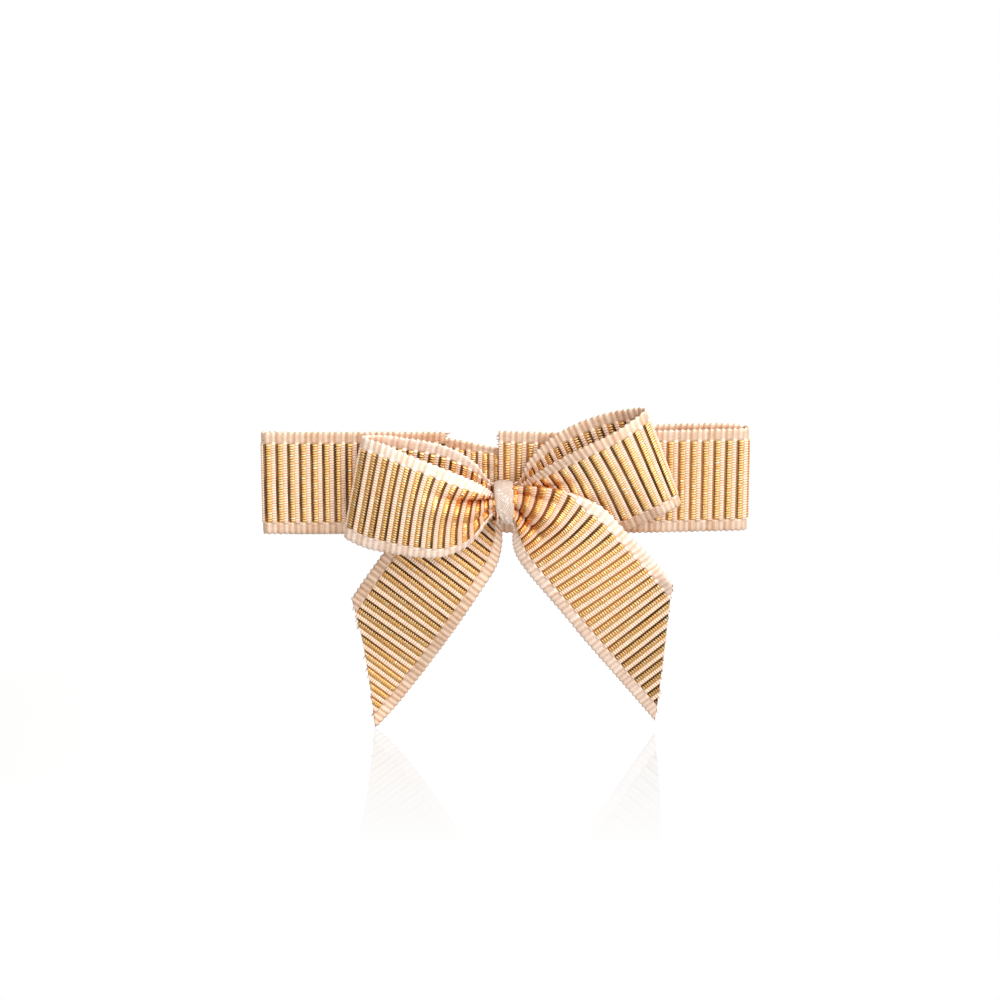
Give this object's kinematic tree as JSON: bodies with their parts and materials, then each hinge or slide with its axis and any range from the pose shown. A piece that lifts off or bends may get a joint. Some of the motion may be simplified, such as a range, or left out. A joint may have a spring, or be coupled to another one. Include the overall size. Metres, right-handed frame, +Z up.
{
  "type": "gift bow",
  "caption": "Flat folded ribbon band with a tied two-loop, two-tail bow on its front, satin centre wrap and a peel-off adhesive pad on its back.",
  "frame": {"origin": "centre of the flat back face that meets the gift, level with the band's mid height and just left of the bow's waist", "axes": "+X to the right along the band, +Z up away from the tails, +Y into the gift; the bow faces -Y"},
  "size_m": [0.1174, 0.015, 0.0808],
  "materials": {
    "ribbon": "ribbed grosgrain with satin selvedges",
    "gold_rib": "metallised lurex yarn, wound round a core",
    "satin": "satin weave, soft sheen",
    "thread": "spun polyester thread",
    "glue": "translucent hot-melt glue",
    "foam": "white closed-cell foam tape",
    "liner": "siliconed release paper"
  },
  "bodies": {
    "root": {"backing_ribbon": "ribbon", "backing_gold_ribs": "gold_rib", "gather_stitch": "thread", "left_end_glue": "glue", "right_end_glue": "glue", "adhesive_pad": "foam", "bow_glue": "glue", "bow_waist": "ribbon", "binding_thread": "thread", "centre_wrap": "satin"},
    "liner": {"release_liner": "liner"},
    "left_loop": {"left_loop": "ribbon", "left_loop_gold_ribs": "gold_rib"},
    "right_loop": {"right_loop": "ribbon", "right_loop_gold_ribs": "gold_rib"},
    "left_tail": {"left_tail": "ribbon", "left_tail_gold_ribs": "gold_rib"},
    "right_tail": {"right_tail": "ribbon", "right_tail_gold_ribs": "gold_rib"}
  },
  "joints": [
    {"name": "left_loop_swing", "type": "hinge", "parent": "root", "child": "left_loop", "pos_m": [-0.0001, -0.0084, -0.0036], "axis": [0, 1, 0], "range_deg": [-8, 8], "stiffness_Nm_per_rad": 0.02},
    {"name": "right_loop_swing", "type": "hinge", "parent": "root", "child": "right_loop", "pos_m": [-0.0001, -0.0084, -0.0036], "axis": [0, 1, 0], "range_deg": [-8, 8], "stiffness_Nm_per_rad": 0.02},
    {"name": "left_tail_swing", "type": "hinge", "parent": "root", "child": "left_tail", "pos_m": [-0.0001, -0.0084, -0.0036], "axis": [0, 1, 0], "range_deg": [-8, 8], "stiffness_Nm_per_rad": 0.02},
    {"name": "right_tail_swing", "type": "hinge", "parent": "root", "child": "right_tail", "pos_m": [-0.0001, -0.0084, -0.0036], "axis": [0, 1, 0], "range_deg": [-8, 8], "stiffness_Nm_per_rad": 0.02},
    {"name": "liner_peel", "type": "slide", "parent": "root", "child": "liner", "axis": [0, 1, 0], "range_m": [0, 0.02]}
  ]
}
